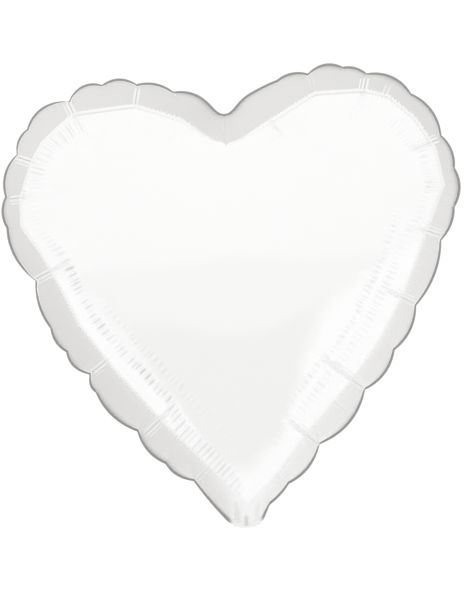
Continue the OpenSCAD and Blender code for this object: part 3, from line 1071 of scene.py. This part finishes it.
def studio_tones(tree):
    """The studio by direction: white in front and behind, grey at the sides, and in front below
    the horizon a paler band over a darker floor between two white reflectors.

    Directions are laid flat by dividing x and z by one plus how far they point to the camera. The
    grey depends on the direction round the view's axis: darkest up to the right and low on the
    left, a little paler from there to the top, and palest straight down.
    """
    place = add_node(tree, "TexCoord").outputs["Generated"]
    x, y, z = map(Value, add_node(tree, "SeparateXYZ", {"Vector": place}).outputs)
    depth = (1.0 - y).at_least(0.01)
    across, up = x / depth, z / depth
    aside = abs(across)

    radius = x * x + z * z
    radius = radius.reckon("SQRT").at_least(0.001)
    cx, cz = x / radius, z / radius
    sinking = (cz * -1.0).at_least(0.0)
    sinking = sinking.reckon("POWER", sinking, 4.0)
    leftward, rising = (0.3 - cx).at_least(0.0), (cz + 0.3).at_least(0.0)
    grey = cx * cz * 0.17 + 0.375 + leftward * rising * 0.08
    grey = (grey - sinking * 0.31).at_least(0.0)

    sides = y.step(-0.150, -0.135) * y.step(0.975, 0.90)
    reflectors = aside.step(0.27, 0.30) * up.step(-0.16, -0.20)
    reflectors = reflectors.at_least(up.step(-0.50, -0.56))
    below = (up + aside * 0.5).step(0.07, 0.03) * (1.0 - reflectors)
    floor = up.step(-0.15, -0.19) * (across + up * 0.72).step(-0.60, -0.56)
    floor = floor * across.step(0.26, 0.23) * up.step(-0.50, -0.46)
    low = (below * 0.058 + floor * 0.072 - reflectors * 0.06) * y.step(0.2, 0.0)
    darkness = sides * grey + low
    tones = add_node(tree, "CombineXYZ")
    for socket, tint in zip(tones.inputs, (1.0, 1.012, 1.045)):
        plug(BASE_TONE - darkness * tint, socket)
    return tones.outputs[0]


# ---- operators

class BALLOON_OT_heart_panels(bpy.types.Operator):
    """Make the two panels of the heart"""

    bl_idname = "balloon.heart_panels"
    bl_label = "Heart panels"

    def execute(self, context):
        scene = context.scene
        material = white_foil(scene.balloon_colours)
        for node, side in (("front_foil", -1), ("back_foil", 1)):
            piece = heart_panel(
                node + "_film", side, scene.balloon_sizes, scene.balloon_film)
            piece.data.materials.append(material)
            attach(piece, "balloon")
            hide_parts(node)
        return {"FINISHED"}


def give_over_front(piece):
    """Gives a film of the tail its own copy of its mesh.
    """
    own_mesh(piece)


class BALLOON_OT_tail_foils(bpy.types.Operator):
    """Make the two foils of the tail, the back one with its inlet hole"""

    bl_idname = "balloon.tail_foils"
    bl_label = "Tail foils"

    def execute(self, context):
        scene = context.scene
        size = scene.balloon_sizes
        material = white_foil(scene.balloon_colours)
        outer = size.foil_t + size.ply_t
        for node, side, hole in (("tail_front_foil", -1, None), ("tail_back_foil", 1, INLET)):
            piece = film_strip(
                node + "_film", size.neck_w, TAIL_END, TAIL_CORNER,
                (side * size.ply_t, side * outer), hole)
            piece.data.materials.append(material)
            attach(piece, "tail")
            give_over_front(piece)
            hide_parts(node)
        return {"FINISHED"}


class BALLOON_OT_valve_films(bpy.types.Operator):
    """Make the four plies of the valve, two in the heart and two in the tail"""

    bl_idname = "balloon.valve_films"
    bl_label = "Valve films"

    def execute(self, context):
        scene = context.scene
        size = scene.balloon_sizes
        material = clear_film(scene.balloon_colours)
        width = size.neck_w - 2 * VALVE_SEAM
        plies = (
            ("valve_front_film", "balloon", -1, VALVE_TOP, None),
            ("valve_back_film", "balloon", 1, VALVE_TOP, None),
            ("tail_valve_front_film", "tail", -1, VALVE_END, None),
            ("tail_valve_back_film", "tail", 1, VALVE_END, INLET))
        for node, body, side, end, hole in plies:
            piece = film_strip(
                node + "_ply", width, end, VALVE_CORNER,
                (side * PLY_LAYER[0], side * PLY_LAYER[1] * size.ply_t), hole,
                down=body == "tail")
            piece.data.materials.append(material)
            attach(piece, body)
            if body == "tail":
                give_over_front(piece)
            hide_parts(node)
        return {"FINISHED"}


class BALLOON_OT_stage(bpy.types.Operator):
    """Make the camera, the floor and the light"""

    bl_idname = "balloon.stage"
    bl_label = "Stage"

    def execute(self, context):
        scene = context.scene
        stage = scene.balloon_stage
        camera_data = bpy.data.cameras.new("camera")
        camera_data.sensor_width = 36
        camera_data.lens = stage.lens
        camera_data.clip_end = 100
        camera = bpy.data.objects.new("camera", camera_data)
        scene.collection.objects.link(camera)
        camera.matrix_world = (
            Matrix.Translation((stage.aim_x, -stage.camera_away, stage.aim_z))
            @ Matrix.Rotation(math.pi / 2, 4, "X") @ Matrix.Rotation(stage.roll, 4, "Z"))
        scene.camera = camera

        bpy.ops.mesh.primitive_circle_add(
            vertices=96, radius=stage.floor_reach, fill_type="NGON",
            location=(0, 0, -stage.floor_drop))
        floor = context.object
        floor.name = "floor"
        floor.visible_glossy = False
        floor.data.materials.append(pale_floor(stage.floor_reach))

        world = bpy.data.worlds.new("studio")
        scene.world = world
        world.use_nodes = True
        tree = world.node_tree
        tree.nodes.clear()
        plain = add_node(tree, "Background", {"Color": (1, 1, 1, 1), "Strength": 1.0})
        seen = add_node(tree, "Background", {"Color": studio_tones(tree), "Strength": 1.0})
        rays = add_node(tree, "LightPath").outputs
        direct = Value(rays["Is Camera Ray"]).at_least(rays["Is Glossy Ray"])
        mix = add_node(tree, "MixShader", {"Fac": direct.at_least(rays["Is Transmission Ray"])})
        for socket, shader in zip(mix.inputs[1:], (plain, seen)):
            plug(shader.outputs[0], socket)
        add_node(tree, "OutputWorld", {"Surface": mix.outputs[0]})
        scene.view_settings.view_transform = "Standard"
        return {"FINISHED"}


class BALLOON_PT_panel(bpy.types.Panel):
    """Lists the balloon's pieces"""

    bl_label = "Heart foil balloon"
    bl_idname = "BALLOON_PT_panel"
    bl_space_type = "VIEW_3D"
    bl_region_type = "UI"
    bl_category = "Balloon"

    def draw(self, context):
        for operator in OPERATORS:
            self.layout.operator(operator.bl_idname)


OPERATORS = (
    BALLOON_OT_heart_panels, BALLOON_OT_tail_foils, BALLOON_OT_valve_films, BALLOON_OT_stage)
GROUPS = (
    ("balloon_sizes", BalloonSizes), ("balloon_film", FilmSettings),
    ("balloon_colours", FilmColours), ("balloon_stage", StageSettings))


def register():
    for name, group in GROUPS:
        bpy.utils.register_class(group)
        setattr(bpy.types.Scene, name, bpy.props.PointerProperty(type=group))
    for cls in (*OPERATORS, BALLOON_PT_panel):
        bpy.utils.register_class(cls)


def unregister():
    for cls in (BALLOON_PT_panel, *reversed(OPERATORS)):
        bpy.utils.unregister_class(cls)
    for name, group in reversed(GROUPS):
        delattr(bpy.types.Scene, name)
        bpy.utils.unregister_class(group)


def seen_at(points):
    """Where points show in the picture, in pixels from its top left corner."""
    camera = bpy.context.scene.camera
    lens, sensor = camera.data.lens, camera.data.sensor_width
    shift_x, shift_y = camera.data.shift_x, camera.data.shift_y
    inverse = np.array(camera.matrix_world.inverted())
    q = points @ inverse[:3, :3].T + inverse[:3, 3]
    long_side = max(PHOTO_W, PHOTO_H)
    scale = long_side * lens / sensor / -q[:, 2]
    return np.stack([PHOTO_W / 2 - shift_x * long_side + q[:, 0] * scale,
                     PHOTO_H / 2 + shift_y * long_side - q[:, 1] * scale], axis=1)


def world_vertices(piece):
    """A mesh's vertices in the shared frame."""
    local = np.empty(3 * len(piece.data.vertices))
    piece.data.vertices.foreach_get("co", local)
    place = np.array(piece.matrix_world)
    return local.reshape(-1, 3) @ place[:3, :3].T + place[:3, 3]


def write_points():
    """How far each named thing shows from its image point, across and down, in pixels."""
    bpy.context.view_layer.update()
    panels = [seen_at(world_vertices(bpy.data.objects[name + "_film"]))
              for name in ("front_foil", "back_foil")]
    every = np.vstack(panels)
    rim = panels[0][:STATIONS]
    st = stations(bpy.context.scene.balloon_sizes)
    middle = PHOTO_W / 2

    def at(side, percent):
        return rim[station_at(st, side, percent)]

    shown = {
        "heart_left_x": (every[:, 0].min(), None),
        "heart_right_x": (every[:, 0].max(), None),
        "heart_top_y": (None, every[:, 1].min()),
        "heart_bottom_y": (None, every[:, 1].max()),
        "left_lobe_top_y": (None, every[every[:, 0] < middle, 1].min()),
        "right_lobe_top_y": (None, every[every[:, 0] > middle, 1].min()),
        "cleft": at(1, 0),
        "neck_fold": rim[np.abs(st["u"] - st["total"] / 2).argmin()],
        "left_notch": at(-1, 55),
        "right_notch": at(1, 52),
        "lower_left_notch": at(-1, 81),
        "lower_right_notch": at(1, 86)}
    for name, point in IMAGE_POINTS.items():
        point = point if isinstance(point, tuple) else (point, point)
        [None if seen is None else round(float(seen) - place, 1)
                        for seen, place in zip(shown[name], point)]


def main():
    register()
    for operator in OPERATORS:
        group, name = operator.bl_idname.split(".")
        getattr(getattr(bpy.ops, group), name)()
    write_points()


if __name__ == "__main__":
    main()
